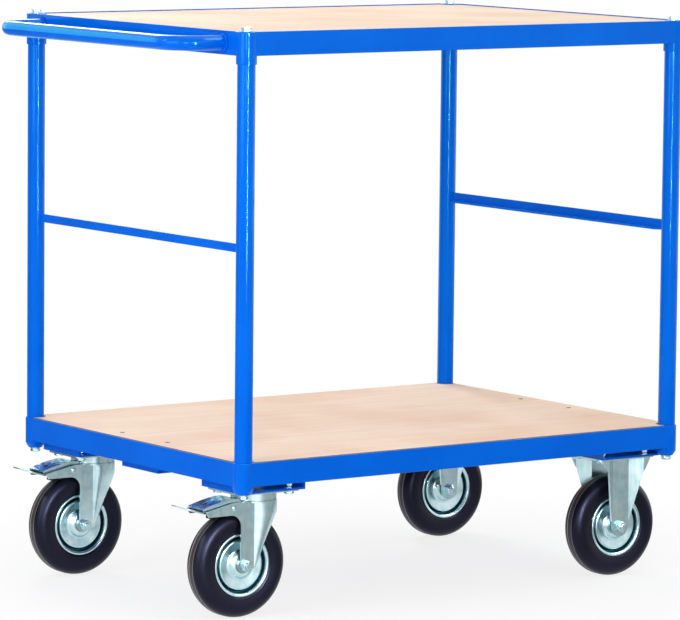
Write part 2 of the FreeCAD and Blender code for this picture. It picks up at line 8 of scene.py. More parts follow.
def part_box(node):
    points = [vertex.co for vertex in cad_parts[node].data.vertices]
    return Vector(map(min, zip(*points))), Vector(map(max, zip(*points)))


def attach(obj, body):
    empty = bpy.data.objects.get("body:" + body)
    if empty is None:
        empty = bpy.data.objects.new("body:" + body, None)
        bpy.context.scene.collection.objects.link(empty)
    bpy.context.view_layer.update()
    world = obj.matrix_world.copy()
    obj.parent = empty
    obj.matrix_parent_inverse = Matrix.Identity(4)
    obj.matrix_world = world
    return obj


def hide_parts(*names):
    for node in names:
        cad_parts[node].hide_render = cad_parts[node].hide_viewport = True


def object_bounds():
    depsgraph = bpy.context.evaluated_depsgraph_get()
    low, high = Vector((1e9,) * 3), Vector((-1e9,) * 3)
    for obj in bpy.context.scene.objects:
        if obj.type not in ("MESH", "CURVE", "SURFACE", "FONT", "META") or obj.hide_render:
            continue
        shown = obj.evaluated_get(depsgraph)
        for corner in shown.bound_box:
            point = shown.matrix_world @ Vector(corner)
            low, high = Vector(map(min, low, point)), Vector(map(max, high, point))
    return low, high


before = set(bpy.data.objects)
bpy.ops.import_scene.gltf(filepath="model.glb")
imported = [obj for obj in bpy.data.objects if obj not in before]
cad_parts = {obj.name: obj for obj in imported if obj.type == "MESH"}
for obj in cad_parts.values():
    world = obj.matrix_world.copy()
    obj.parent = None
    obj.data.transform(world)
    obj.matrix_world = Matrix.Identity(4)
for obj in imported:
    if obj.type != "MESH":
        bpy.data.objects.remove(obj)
cad_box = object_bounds()
scene = bpy.context.scene

# The view: a long lens at chest height, off the front corner at the handle end.
# The lens follows from the picture's width and its focal length, both in pixels, on a 36 mm sensor.
picture_width = 680
focal_pixels = 4665.6
camera_place = (-5.2021, -7.3968, 1.544)
camera_azimuth = math.radians(35.242)
camera_elevation = math.radians(6.433)
camera_roll = math.radians(0.589)
camera = bpy.data.cameras.new("camera")
camera.sensor_width = 36.0
camera.lens = camera.sensor_width * focal_pixels / picture_width
camera.clip_end = 60.0
eye = bpy.data.objects.new("camera", camera)
eye.matrix_world = (Matrix.Translation(camera_place) @ Matrix.Rotation(-camera_azimuth, 4, "Z")
                    @ Matrix.Rotation(math.pi / 2 - camera_elevation, 4, "X")
                    @ Matrix.Rotation(camera_roll, 4, "Z"))
scene.collection.objects.link(eye)
scene.camera = eye
scene.view_settings.view_transform = "Standard"


# The room: a white studio with a key light at the left, soft boxes behind and by the camera, and fill
# from above. Lamps that only give gloss draw the line down each post, the bright lips of the rails
# and the lights on the handle.
def linear(hex_colour):
    """An sRGB hex colour as linear RGBA."""
    parts = np.array([int(hex_colour[start:start + 2], 16) for start in (1, 3, 5)]) / 255
    return (*np.where(parts <= 0.04045, parts / 12.92, ((parts + 0.055) / 1.055) ** 2.4), 1.0)


def add_node(tree, kind, inputs=None, stops=(), **settings):
    """One node. Settings are its own properties, and stops are a ramp's places and hex colours.
    An input gets a value, or a link if it is given a socket."""
    node = tree.nodes.new(kind)
    for name, value in settings.items():
        setattr(node, name, value)
    for number, (position, colour) in enumerate(stops):
        stop = node.color_ramp.elements[number] if number < 2 else node.color_ramp.elements.new(position)
        stop.position = position
        stop.color = linear(colour)
    for name, value in (inputs or {}).items():
        if isinstance(value, bpy.types.NodeSocket):
            tree.links.new(value, node.inputs[name])
        else:
            node.inputs[name].default_value = value
    return node


def soft_box(name, place, width, height, watts, only_gloss=False, colour=(1, 1, 1)):
    """A rectangular lamp at a place, turned to face the middle of the trolley. The camera doesn't see it."""
    lamp = bpy.data.lights.new(name, "AREA")
    lamp.shape = "RECTANGLE"
    lamp.size = width
    lamp.size_y = height
    lamp.energy = watts
    lamp.color = colour
    holder = bpy.data.objects.new(name, lamp)
    middle = (Vector(cad_box[0]) + Vector(cad_box[1])) / 2
    aim = middle - Vector(place)
    holder.matrix_world = Matrix.Translation(place) @ aim.to_track_quat("-Z", "Y").to_matrix().to_4x4()
    holder.visible_camera = False
    holder.visible_diffuse = not only_gloss
    scene.collection.objects.link(holder)


handle_tint = (0.02, 0.85, 0.3)
soft_box("overhead", (0.2, -0.4, 4.2), 4.0, 3.2, 35.0)
soft_box("back_box", (0.75, 2.7, 2.45), 1.1, 1.4, 38.0)
soft_box("key_left", (-3.0, -0.9, 1.5), 1.6, 1.8, 36.0)
soft_box("front_box", (0.4, -3.6, 2.4), 2.6, 1.4, 24.0)
soft_box("camera_box", (-2.4, -3.0, 1.3), 0.6, 1.1, 24.0)
soft_box("right_box", (5.2, -0.8, 1.3), 2.2, 2.4, 20.0)
soft_box("front_strip", (-0.80, -2.54, 0.95), 0.04, 1.1, 70.0, only_gloss=True)
soft_box("top_box", (1.5, -0.9, 2.6), 2.4, 1.6, 100.0, only_gloss=True)
soft_box("handle_box", (-1.5, 2.1, 1.5), 2.4, 1.9, 52.0, only_gloss=True, colour=handle_tint)
soft_box("left_spot", (-3.03, 0.54, 2.61), 0.22, 0.22, 24.0, only_gloss=True)
soft_box("front_spot", (-1.13, -3.23, 1.52), 0.22, 0.22, 24.0, only_gloss=True)


def seen_rays(tree):
    """One for a ray that shows a surface to the camera, straight, mirrored or through glass, or else zero."""
    path = add_node(tree, "ShaderNodeLightPath").outputs
    shown = add_node(tree, "ShaderNodeMath", {0: path["Is Camera Ray"], 1: path["Is Glossy Ray"]},
                     operation="MAXIMUM").outputs[0]
    return add_node(tree, "ShaderNodeMath", {0: shown, 1: path["Is Transmission Ray"]},
                    operation="MAXIMUM").outputs[0]


world = bpy.data.worlds.new("white_studio")
world.use_nodes = True
scene.world = world
tree = world.node_tree
fill_level = 0.45
fill = add_node(tree, "ShaderNodeMapRange", {"Value": seen_rays(tree), "To Min": fill_level, "To Max": 1.0})
tree.links.new(fill.outputs["Result"], tree.nodes["Background"].inputs["Strength"])
tree.nodes["Background"].inputs["Color"].default_value = (1, 1, 1, 1)


# The floor: matt white studio paper that takes the wheels' soft shadows.
# Away from the trolley it fades into the white of the room, so that no edge or horizon shows.
def new_material(name):
    """An empty material with its shader and the object's own coordinates."""
    material = bpy.data.materials.new(name)
    material.use_nodes = True
    tree = material.node_tree
    place = add_node(tree, "ShaderNodeTexCoord").outputs["Object"]
    return material, tree, tree.nodes["Principled BSDF"], place


floor_half = 7.0
floor_mesh = bpy.data.meshes.new("floor")
floor_mesh.from_pydata([(-floor_half, -floor_half, 0), (floor_half, -floor_half, 0),
                        (floor_half, floor_half, 0), (-floor_half, floor_half, 0)], [], [(0, 1, 2, 3)])
floor = bpy.data.objects.new("floor", floor_mesh)
scene.collection.objects.link(floor)
paper, tree, shader, place = new_material("studio_paper")
shader.inputs["Base Color"].default_value = linear("#FCFCFC")
shader.inputs["Roughness"].default_value = 0.9
shader.inputs["Specular IOR Level"].default_value = 0.0
shadow_share = 0.2
shadow_edge = 0.7
fade_edge = 1.4
away = add_node(tree, "ShaderNodeVectorMath", {0: place}, operation="LENGTH").outputs["Value"]
white = add_node(tree, "ShaderNodeMapRange", {"Value": away, "From Min": shadow_edge, "From Max": fade_edge,
                                              "To Min": 1 - shadow_share, "To Max": 1.0},
                 interpolation_type="SMOOTHSTEP").outputs["Result"]
white = add_node(tree, "ShaderNodeMath", {0: white, 1: seen_rays(tree)}, operation="MULTIPLY").outputs[0]
glow = add_node(tree, "ShaderNodeEmission", {"Color": (1, 1, 1, 1), "Strength": 1.0}).outputs["Emission"]
sheet = add_node(tree, "ShaderNodeMixShader", {0: white, 1: shader.outputs["BSDF"], 2: glow})
tree.links.new(sheet.outputs["Shader"], tree.nodes["Material Output"].inputs["Surface"])
floor_mesh.materials.append(paper)


# The cards: grey ones on the floor in front and at the right, one upright behind at the left, and a bright
# one on the floor close in front. Only reflections show them: without them, bright metal in a white room
# has no dark side and no bright edge.
def add_card(name, level, corners):
    """A four-cornered card of one brightness."""
    mesh = bpy.data.meshes.new(name)
    mesh.from_pydata(corners, [], [(0, 1, 2, 3)])
    card = bpy.data.objects.new(name, mesh)
    scene.collection.objects.link(card)
    matt, tree = new_material(name)[:2]
    shine = add_node(tree, "ShaderNodeEmission", {"Color": (1, 1, 1, 1), "Strength": level})
    tree.links.new(shine.outputs["Emission"], tree.nodes["Material Output"].inputs["Surface"])
    mesh.materials.append(matt)
    card.visible_camera = False
    card.visible_diffuse = False
    card.visible_shadow = False
    card.visible_transmission = False


card_z = 0.002
low_card_z = 0.003
wall_top = 1.0
add_card("floor_card", 0.42, [(-0.2, -0.42, card_z), (3.4, -0.42, card_z),
                              (3.4, -3.2, card_z), (-0.2, -3.2, card_z)])
add_card("right_card", 0.5, [(0.68, -0.42, card_z), (6.5, -0.42, card_z),
                             (6.5, 2.8, card_z), (0.68, 1.8, card_z)])
add_card("side_card", 0.2, [(-1.9, 0.45, 0.0), (-0.3, 1.55, 0.0),
                            (-0.3, 1.55, wall_top), (-1.9, 0.45, wall_top)])
add_card("front_card", 0.5, [(-1.1, -1.0, card_z), (-0.2, -1.0, card_z),
                             (-0.2, -3.2, card_z), (-1.1, -3.2, card_z)])
add_card("low_card", 2.3, [(-1.15, -0.95, low_card_z), (-1.1, -1.4, low_card_z),
                           (-0.45, -1.25, low_card_z), (-0.2, -0.85, low_card_z)])


# Frame rails: steel tee sections, fitted to the corner sockets, welded and then powder coated.
# Their flat faces and slightly round edges come from hot rolling, softened by the coat.

# Polyester powder coat, glossy bright blue: a smooth baked film with a fine orange peel.
# The eye sees an even deep colour, fine bright lines at the lamps and a soft lightening at glancing angles.
# The peel of a real coat is 2 to 3 mm across; it is drawn at 5 mm, because finer would not show.
powder_coat, tree, shader, place = new_material("blue_powder_coat")
peel_size = 0.005
film_size = 0.16
peel = add_node(tree, "ShaderNodeTexNoise", {"Vector": place, "Scale": 1 / peel_size, "Detail": 2.0})
film = add_node(tree, "ShaderNodeTexNoise", {"Vector": place, "Scale": 1 / film_size, "Detail": 3.0})
tone = add_node(tree, "ShaderNodeValToRGB", {"Fac": film.outputs["Fac"]},
                stops=[(0.3, "#005CD6"), (0.7, "#0065E0")])
gloss = add_node(tree, "ShaderNodeMapRange", {"Value": film.outputs["Fac"], "To Min": 0.07, "To Max": 0.11})
skin = add_node(tree, "ShaderNodeBump", {"Height": peel.outputs["Fac"], "Strength": 0.015,
                                         "Distance": 0.0005})
tree.links.new(tone.outputs["Color"], shader.inputs["Base Color"])
tree.links.new(gloss.outputs["Result"], shader.inputs["Roughness"])
tree.links.new(skin.outputs["Normal"], shader.inputs["Normal"])
shader.inputs["Specular IOR Level"].default_value = 0.25
shader.inputs["Specular Tint"].default_value = linear("#74FFF0")
shader.inputs["Sheen Weight"].default_value = 0.4
shader.inputs["Sheen Roughness"].default_value = 0.4
shader.inputs["Sheen Tint"].default_value = linear("#00B4E6")
fold_angle = math.radians(32)
flat_angle = math.radians(0.5)
join_distance = 0.00001


def softened_edges():
    """Geometry nodes that join a solid's loose triangles and shade them smooth, but for sharp folds."""
    group = bpy.data.node_groups.new("softened_edges", "GeometryNodeTree")
    group.interface.new_socket("Geometry", in_out="INPUT", socket_type="NodeSocketGeometry")
    group.interface.new_socket("Geometry", in_out="OUTPUT", socket_type="NodeSocketGeometry")
    solid = add_node(group, "NodeGroupInput").outputs["Geometry"]
    joined = add_node(group, "GeometryNodeMergeByDistance", {"Geometry": solid, "Distance": join_distance})
    fold = add_node(group, "GeometryNodeInputMeshEdgeAngle")
    gentle = add_node(group, "FunctionNodeCompare", {"A": fold.outputs["Unsigned Angle"], "B": fold_angle},
                      data_type="FLOAT", operation="LESS_THAN")
    faces = add_node(group, "GeometryNodeSetShadeSmooth",
                     {"Geometry": joined.outputs["Geometry"], "Shade Smooth": True}, domain="FACE")
    edges = add_node(group, "GeometryNodeSetShadeSmooth",
                     {"Geometry": faces.outputs["Geometry"], "Shade Smooth": gentle.outputs["Result"]},
                     domain="EDGE")
    add_node(group, "NodeGroupOutput", {"Geometry": edges.outputs["Geometry"]})
    return group


soft_group = softened_edges()


def finish_solid(node, material, round_edge=0.0):
    """A solid of the frame gets its material, smooth curves and, where it has folds, a small rounding."""
    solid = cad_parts[node]
    solid.data.materials.clear()
    solid.data.materials.append(material)
    joined = solid.modifiers.new("joined", "NODES")
    joined.node_group = soft_group
    if round_edge:
        flat = solid.modifiers.new("flat_faces", "DECIMATE")
        flat.decimate_type = "DISSOLVE"
        flat.angle_limit = flat_angle
        edge = solid.modifiers.new("round_edges", "BEVEL")
        edge.width = round_edge
        edge.segments = 3
        edge.limit_method = "ANGLE"
        edge.angle_limit = fold_angle
        edge.harden_normals = True


rail_round = 0.0019
decks = ("lower", "upper")
for deck in decks:
    for side in ("front", "back", "handle_end", "far_end"):
        finish_solid(deck + "_rail_" + side, powder_coat, rail_round)


# Corner sockets: pressed steel cups that the rails are welded to and the posts stand in.
# The closed end of a lower one slopes in, as a foot, and the open rim is slightly rolled.
same_place = 1e-7


def rounded(corners, ease, steps):
    """A closed outline with eased corners: each is a parabola that starts and ends the ease away from it."""
    corners = np.array(corners, float)
    ease = np.broadcast_to(ease, len(corners))[:, None]
    before = np.roll(corners, 1, 0) - corners
    after = np.roll(corners, -1, 0) - corners
    before_length = np.linalg.norm(before, axis=1, keepdims=True)
    after_length = np.linalg.norm(after, axis=1, keepdims=True)
    start = (corners + before / before_length * np.minimum(ease, before_length / 2))[:, None]
    end = (corners + after / after_length * np.minimum(ease, after_length / 2))[:, None]
    t = np.linspace(0, 1, steps)[None, :, None]
    return ((1 - t) ** 2 * start + 2 * t * (1 - t) * corners[:, None] + t ** 2 * end).reshape(-1, 2)


def turned(outline, centre, upright, steps):
    """An outline of radius and height points turned about a centre: round Z when upright, or else round Y."""
    angle = np.linspace(0, 2 * np.pi, steps, endpoint=False)
    across = outline[:, :1] * np.cos(angle)
    round_about = outline[:, :1] * np.sin(angle)
    along = outline[:, 1:] + 0 * angle
    parts = (across, round_about, along) if upright else (across, along, round_about)
    return np.stack(parts, -1) + np.array(centre)


def add_surface(name, grids, material, body, nodes=(), marks=None):
    """One piece of grids of points whose neighbours join in quads, closed round their columns and rows.
    A grid whose first row is one point is capped there and at its last row. Marks are values at points."""
    points = []
    quads = []
    count = 0
    for grid in grids:
        number = np.arange(grid.shape[0] * grid.shape[1]).reshape(grid.shape[:2])
        ring = np.stack([number, np.roll(number, -1, 1), np.roll(number, (-1, -1), (0, 1)),
                         np.roll(number, -1, 0)], -1)
        capped = np.ptp(grid[0], axis=0).max() < same_place
        quads.append((ring[:-1] if capped else ring).reshape(-1, 4) + count)
        points.append(grid.reshape(-1, 3))
        count += number.size
    mesh = bpy.data.meshes.new(name)
    mesh.from_pydata(np.concatenate(points).tolist(), [], np.concatenate(quads).tolist())
    for mark, values in (marks or {}).items():
        layer = mesh.attributes.new(mark, "FLOAT", "POINT")
        layer.data.foreach_set("value", values.ravel().astype(np.float32))
    closed = bmesh.new()
    closed.from_mesh(mesh)
    bmesh.ops.remove_doubles(closed, verts=closed.verts, dist=same_place)
    bmesh.ops.recalc_face_normals(closed, faces=closed.faces)
    closed.to_mesh(mesh)
    closed.free()
    mesh.shade_smooth()
    mesh.set_sharp_from_angle(angle=fold_angle)
    mesh.materials.append(material)
    piece = bpy.data.objects.new(name, mesh)
    scene.collection.objects.link(piece)
    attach(piece, body)
    if nodes:
        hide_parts(*nodes)
    return piece


def middle_of(node):
    """The middle of a node's box."""
    return np.mean(np.array(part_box(node)), axis=0)


post_names = ("handle_front", "handle_back", "far_front", "far_back")
post_places = [middle_of("post_" + name)[:2] for name in post_names]
socket_r = 0.0193
socket_bore_r = 0.01705
socket_hole_r = 0.0055
socket_floor = 0.005
socket_ease = (0.0006, 0.0009, 0.0014, 0.0011, 0.0008, 0.0008, 0.0006)
socket_ease_steps = 7
socket_steps = 72
foot_slope = (0.0058, 0.0098)
cap_slope = (0.0012, 0.0012)
for deck, way, (slope_in, slope_up) in (("lower", 1, foot_slope), ("upper", -1, cap_slope)):
    low, high = (corner[2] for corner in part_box(deck + "_corner_sockets"))
    height = high - low
    cup = rounded([(socket_hole_r, 0), (socket_r - slope_in, 0), (socket_r, slope_up), (socket_r, height),
                   (socket_bore_r, height), (socket_bore_r, socket_floor), (socket_hole_r, socket_floor)],
                  socket_ease, socket_ease_steps)
    cup = cup * (1, way) + (0, low if way > 0 else high)
    add_surface(deck + "_sockets", [turned(cup, (x, y, 0), True, socket_steps) for x, y in post_places],
                powder_coat, "frame", (deck + "_corner_sockets",))


# Posts: round steel tubes, powder coated.
# They stand in the lower sockets and hold the upper ones.
for name in post_names:
    finish_solid("post_" + name, powder_coat)


# Tie rails: small steel angles, powder coated.
# Each is welded between the two posts of a short end.
tie_round = 0.0006
for side in ("handle_end", "far_end"):
    finish_solid("tie_rail_" + side, powder_coat, tie_round)


# Welds: beads of a hand torch, under the coat, where rails meet sockets and tie rails meet posts.
# Each bead is a row of overlapping drops.
drop_pitch = 0.0026
drop_wave = 0.16
bead_steps = 60
bead_sides = 12


def bead(start, end, radius):
    """A weld bead from start to end: a tube whose radius waves once each drop and runs out at both ends."""
    start = np.array(start, float)
    end = np.array(end, float)
    length = np.linalg.norm(end - start)
    along = (end - start) / length
    t = np.linspace(0, 1, bead_steps)[:, None]
    run_out = (1 - (2 * t - 1) ** 6) ** 0.5
    size = radius * run_out * (1 + drop_wave * np.cos(2 * np.pi * t * length / drop_pitch))
    across = np.cross(along, (0, 0, 1) if abs(along[2]) < 0.5 else (1, 0, 0))
    other = np.cross(along, across)
    angle = np.linspace(0, 2 * np.pi, bead_sides, endpoint=False)
    ring = np.cos(angle)[:, None] * across + np.sin(angle)[:, None] * other
    return start + (end - start) * t[:, None] + size[:, None] * ring


rail_face = 0.018
rail_sheet = 0.004
ledge_height = 0.020
seam_r = 0.0021
seam_reach = math.sqrt(socket_r ** 2 - (rail_face - rail_sheet) ** 2) + seam_r / 3
seam_depth = rail_face - rail_sheet - seam_r / 3
beads = []
for deck in decks:
    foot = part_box(deck + "_rail_front")[0][2] + drop_pitch
    top = foot + ledge_height - 2 * drop_pitch
    for x, y in post_places:
        inward_x = -math.copysign(1, x)
        inward_y = -math.copysign(1, y)
        for seam_x, seam_y in ((inward_x * seam_reach, -inward_y * seam_depth),
                               (-inward_x * seam_depth, inward_y * seam_reach)):
            beads.append(bead((x + seam_x, y + seam_y, foot), (x + seam_x, y + seam_y, top), seam_r))
tie_seam_r = 0.0013
tie_web_half = 0.0015
for side, names in (("handle_end", post_names[:2]), ("far_end", post_names[2:])):
    low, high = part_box("tie_rail_" + side)
    for name in names:
        x, y = middle_of("post_" + name)[:2]
        inward_y = -math.copysign(1, y)
        seam_y = y + inward_y * (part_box("post_" + name)[1][1] - y)
        for web_side in (-1, 1):
            seam_x = x + web_side * (tie_web_half + tie_seam_r / 3)
            beads.append(bead((seam_x, seam_y, low[2]), (seam_x, seam_y, high[2]), tie_seam_r))
add_surface("weld_beads", beads, powder_coat, "frame")


# Push handle: one bent steel tube, welded to the upper end rail and coated with it.
# A circle is carried along two arms, two quarter bends and the bar: each point of that line is a bend
# centre plus a spoke of the bend's radius. A rippled bead runs round each end.
handle_low, handle_high = np.array(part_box("push_handle"))
handle_r = 0.014
handle_bend_r = 0.058
arm_y = 0.315
handle_z = (handle_low[2] + handle_high[2]) / 2
rail_x = handle_high[0]
bend_x = handle_low[0] + handle_r + handle_bend_r
bend_y = arm_y - handle_bend_r
arm_steps = 8
bend_steps = 28
bar_steps = 22
tube_sides = 48
turn = np.linspace(0, np.pi / 2, bend_steps)
arm = np.linspace(rail_x, bend_x, arm_steps)
bar = np.linspace(-bend_y, bend_y, bar_steps + 2)[1:-1]
spoke_angle = np.concatenate([np.full(arm_steps, -np.pi / 2), -np.pi / 2 - turn[1:],
                              np.full(bar_steps, np.pi), np.pi - turn[:-1], np.full(arm_steps, np.pi / 2)])
end_steps = arm_steps + bend_steps - 1
spoke_x = np.concatenate([arm, np.full(len(spoke_angle) - 2 * arm_steps, bend_x), arm[::-1]])
spoke_y = np.concatenate([np.full(end_steps, -bend_y), bar, np.full(end_steps, bend_y)])
spoke = np.stack([np.cos(spoke_angle), np.sin(spoke_angle), 0 * spoke_angle], -1)[:, None]
line = np.stack([spoke_x, spoke_y, 0 * spoke_x + handle_z], -1)[:, None] + handle_bend_r * spoke
angle = np.linspace(0, 2 * np.pi, tube_sides, endpoint=False)
ring = np.stack([np.cos(angle), np.sin(angle)], -1)[None, :, :, None]
tube = line + handle_r * (ring[:, :, 0] * spoke + ring[:, :, 1] * np.array([0, 0, 1.0]))
tube = np.concatenate([np.repeat(line[:1], tube_sides, 1), tube, np.repeat(line[-1:], tube_sides, 1)])
collar_r = 0.0027
collar_lift = 0.0006
collar_drops = 33
collar_wave = 0.15
collar_sides = 14
collar_angle = np.linspace(0, 2 * np.pi, 4 * collar_drops, endpoint=False)[:, None]
drop_angle = np.linspace(0, 2 * np.pi, collar_sides, endpoint=False)
drops = collar_r * (1 + collar_wave * np.cos(collar_drops * collar_angle))
reach = handle_r + collar_lift + drops * np.cos(drop_angle)
collar = np.stack([rail_x - collar_lift - drops * (1 + np.sin(drop_angle)) / 2, reach * np.cos(collar_angle),
                   handle_z + reach * np.sin(collar_angle)], -1)
push_handle = add_surface("push_handle_tube", [tube, collar + (0, -arm_y, 0), collar + (0, arm_y, 0)],
                          powder_coat, "frame", ("push_handle",))
# The tinted handle box lights the handle alone, since the other pieces would take its colour.
handle_only = bpy.data.collections.new("lit_by_handle_box")
handle_only.objects.link(push_handle)
bpy.data.objects["handle_box"].light_linking.receiver_collection = handle_only


# Deck channel and castor brackets: a folded channel and four brackets of plate, welded under the lower frame.
# The channel stiffens the board, and each bracket carries a castor.
# A bracket's plates touch each other, so they keep their own flat faces.
fold_round = 0.0009
finish_solid("deck_support_channel", powder_coat, fold_round)
bracket_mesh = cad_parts["castor_brackets"].data
bracket_mesh.materials.clear()
bracket_mesh.materials.append(powder_coat)


# Boards: wood board faced with a light beech decor, laid in the frames on their ledges.
# The lower one stands slightly proud of its rails, and the brown core of its facing shows along the edge.

# Beech decor, satin lacquer: fine straight grain along the board, short darker flecks and a faint rosy
# mottling. The lower board's underside is painted dark brown as painted shade: it is where the normal's Z
# and the height in metres add up to less than the limit, which the upper board's underside doesn't reach.
# Real flecks are 1 mm wide; they are drawn 3 mm wide and 40 mm long, because finer would not show.
beech, tree, shader, place = new_material("beech_decor_board")
grain_length = 0.35
grain_width = 0.010
fleck_length = 0.040
fleck_width = 0.003
cloud_size = 0.30
underside_shade_limit = -0.5
along_grain = add_node(tree, "ShaderNodeMapping",
                       {"Vector": place, "Scale": (1 / grain_length, 1 / grain_width, 1)}).outputs["Vector"]
grain = add_node(tree, "ShaderNodeTexNoise",
                 {"Vector": along_grain, "Scale": 1.0, "Detail": 4.0}).outputs["Fac"]
along_fleck = add_node(tree, "ShaderNodeMapping",
                       {"Vector": place, "Scale": (1 / fleck_length, 1 / fleck_width, 1)}).outputs["Vector"]
fleck = add_node(tree, "ShaderNodeTexNoise",
                 {"Vector": along_fleck, "Scale": 1.0, "Detail": 1.0}).outputs["Fac"]
cloud = add_node(tree, "ShaderNodeTexNoise", {"Vector": place, "Scale": 1 / cloud_size, "Detail": 2.0})
wood = add_node(tree, "ShaderNodeValToRGB", {"Fac": grain},
                stops=[(0.25, "#F2D8C0"), (0.5, "#F8E2CA"), (0.75, "#FCEAD7")]).outputs["Color"]
rosy = add_node(tree, "ShaderNodeMapRange", {"Value": cloud.outputs["Fac"], "From Min": 0.42, "From Max": 0.7,
                                             "To Max": 0.6})
dash = add_node(tree, "ShaderNodeMapRange", {"Value": fleck, "From Min": 0.6, "From Max": 0.75,
                                             "To Max": 0.2})
normal = add_node(tree, "ShaderNodeNewGeometry").outputs["Normal"]
normal_z = add_node(tree, "ShaderNodeSeparateXYZ", {"Vector": normal}).outputs["Z"]
place_z = add_node(tree, "ShaderNodeSeparateXYZ", {"Vector": place}).outputs["Z"]
# Painted shade: the lower board's downward-facing underside is darkened to brown.
painted_underside_shade = add_node(tree, "ShaderNodeMath", {0: normal_z, 1: place_z}, operation="ADD").outputs[0]
painted_underside_shade = add_node(tree, "ShaderNodeMath", {0: painted_underside_shade, 1: underside_shade_limit}, operation="LESS_THAN").outputs[0]
core_mark = add_node(tree, "ShaderNodeAttribute", attribute_name="facing_edge").outputs["Fac"]
for share, colour in ((rosy.outputs["Result"], "#E8BFA3"), (dash.outputs["Result"], "#D9AE90"),
                      (painted_underside_shade, "#86664A"), (core_mark, "#8A6048")):
    mixed = add_node(tree, "ShaderNodeMix", {0: share, 6: wood, 7: linear(colour)}, data_type="RGBA")
    wood = mixed.outputs[2]
lacquer = add_node(tree, "ShaderNodeMapRange", {"Value": grain, "To Min": 0.6, "To Max": 0.72})
pores = add_node(tree, "ShaderNodeBump", {"Height": fleck, "Strength": 0.08, "Distance": 0.0004})
tree.links.new(wood, shader.inputs["Base Color"])
tree.links.new(lacquer.outputs["Result"], shader.inputs["Roughness"])
tree.links.new(pores.outputs["Normal"], shader.inputs["Normal"])
shader.inputs["Specular IOR Level"].default_value = 0.2
board_round = 0.0008
finish_solid("upper_board", beech, board_round)
board_proud = 0.0012
board_ease = 0.0004
facing_depth = 0.0012
notch_gap = 0.001
notch_steps = 24
deck_middle = np.mean(post_places, axis=0)
post_reach = np.ptp(post_places, axis=0) / 2
board_low, board_high = np.array(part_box("lower_board"))
board_half = (board_high[:2] - board_low[:2]) / 2
board_foot = board_low[2]
board_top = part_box("lower_rail_front")[1][2] + board_proud


def board_row(inset, z):
    """The board's outline at a height, inset all round: straight edges, with an arc round the socket at each
    corner. The arc runs between the angles where it meets the two edges, and the other corners mirror it."""
    notch_r = socket_r + notch_gap + inset
    meets = (board_half - inset - post_reach) / notch_r
    angle = np.linspace(-np.arccos(meets[0]), -np.pi - np.arcsin(meets[1]), notch_steps)
    corner = post_reach + notch_r * np.stack([np.cos(angle), np.sin(angle)], -1)
    outline = np.concatenate([corner, corner[::-1] * (-1, 1), -corner, corner[::-1] * (1, -1)])
    return np.column_stack([deck_middle + outline, np.full(len(outline), z)])


facing_foot = board_top - facing_depth
rows = [board_row(board_ease, board_top), board_row(0, board_top - board_ease), board_row(0, facing_foot),
        board_row(0, facing_foot - board_ease), board_row(0, board_foot + board_ease),
        board_row(board_ease, board_foot)]
middle_top, middle_foot = (np.broadcast_to((*deck_middle, z), rows[0].shape) for z in (board_top, board_foot))
on_facing = np.repeat([0, 0, 1, 1, 0, 0, 0, 0], len(rows[0]))
lower_board = add_surface("lower_beech_board", [np.stack([middle_top, *rows, middle_foot])], beech, "frame",
                          ("lower_board",), {"facing_edge": on_facing})
# The top box is kept off the boards, which its gloss would turn white.
shaded = bpy.data.collections.new("not_lit_by_top_box")
for board in (lower_board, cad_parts["upper_board"]):
    shaded.objects.link(board)
for member in shaded.collection_objects:
    member.light_linking.link_state = "EXCLUDE"
bpy.data.objects["top_box"].light_linking.receiver_collection = shaded


# Board screws: countersunk screws with a cross recess, two at each end of each board.
# The lower board's go in from above and the upper board's from below, through the ledges.

# Phosphated steel: dark grey and dull, with a fine crystal mottling.
# Its crystals are far smaller than 1 mm; they are drawn at 1 mm, because finer would not show.
phosphate, tree, shader, place = new_material("phosphated_steel")
crystal_size = 0.001
crystal = add_node(tree, "ShaderNodeTexNoise", {"Vector": place, "Scale": 1 / crystal_size, "Detail": 2.0})
dull_tone = add_node(tree, "ShaderNodeValToRGB", {"Fac": crystal.outputs["Fac"]},
                     stops=[(0.3, "#63666A"), (0.7, "#787B7E")])
dullness = add_node(tree, "ShaderNodeMapRange",
                    {"Value": crystal.outputs["Fac"], "To Min": 0.4, "To Max": 0.55})
tree.links.new(dull_tone.outputs["Color"], shader.inputs["Base Color"])
tree.links.new(dullness.outputs["Result"], shader.inputs["Roughness"])
shader.inputs["Metallic"].default_value = 1.0
screw_r = 0.005
screw_shank_r = 0.0024
screw_length = 0.020
screw_proud = 0.0008
screw_sides = 64
screw_rings = 24
upper_screw_drop = 0.0066
recess_r = 0.0028
recess_half = 0.0008
recess_depth = 0.0007
recess_wall = 0.0004
recess_end = 0.0006


def screw(x, y, head_z, way):
    """A screw: a face with a cross pressed into it, a cone and a shank, as a grid of rings and angles."""
    angle = np.linspace(0, 2 * np.pi, screw_sides, endpoint=False)
    radius = np.concatenate([np.linspace(0, screw_r, screw_rings), [screw_shank_r, screw_shank_r, 0]])
    tip = [screw_r - screw_shank_r, screw_length, screw_length + screw_shank_r]
    depth = np.concatenate([np.zeros(screw_rings), tip])
    across = radius[:, None] * np.cos(angle)
    along = radius[:, None] * np.sin(angle)
    beside = np.minimum(abs(across), abs(along)) - recess_half
    inside = np.clip((recess_r - radius) / recess_end, 0, 1)[:, None]
    cross = np.clip(0.5 - beside / recess_wall, 0, 1) * inside
    height = head_z + way * (depth[:, None] + recess_depth * cross)
    return np.stack([x + across, y + along, height], -1)


screws = []
screw_low, screw_high = np.array(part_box("board_screws"))
for x in (screw_low[0] + screw_r, screw_high[0] - screw_r):
    for y in (screw_low[1] + screw_r, screw_high[1] - screw_r):
        screws.append(screw(x, y, board_top + screw_proud, -1))
        screws.append(screw(x, y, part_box("upper_board")[0][2] - upper_screw_drop, 1))
add_surface("cross_head_screws", screws, phosphate, "frame", ("board_screws",))
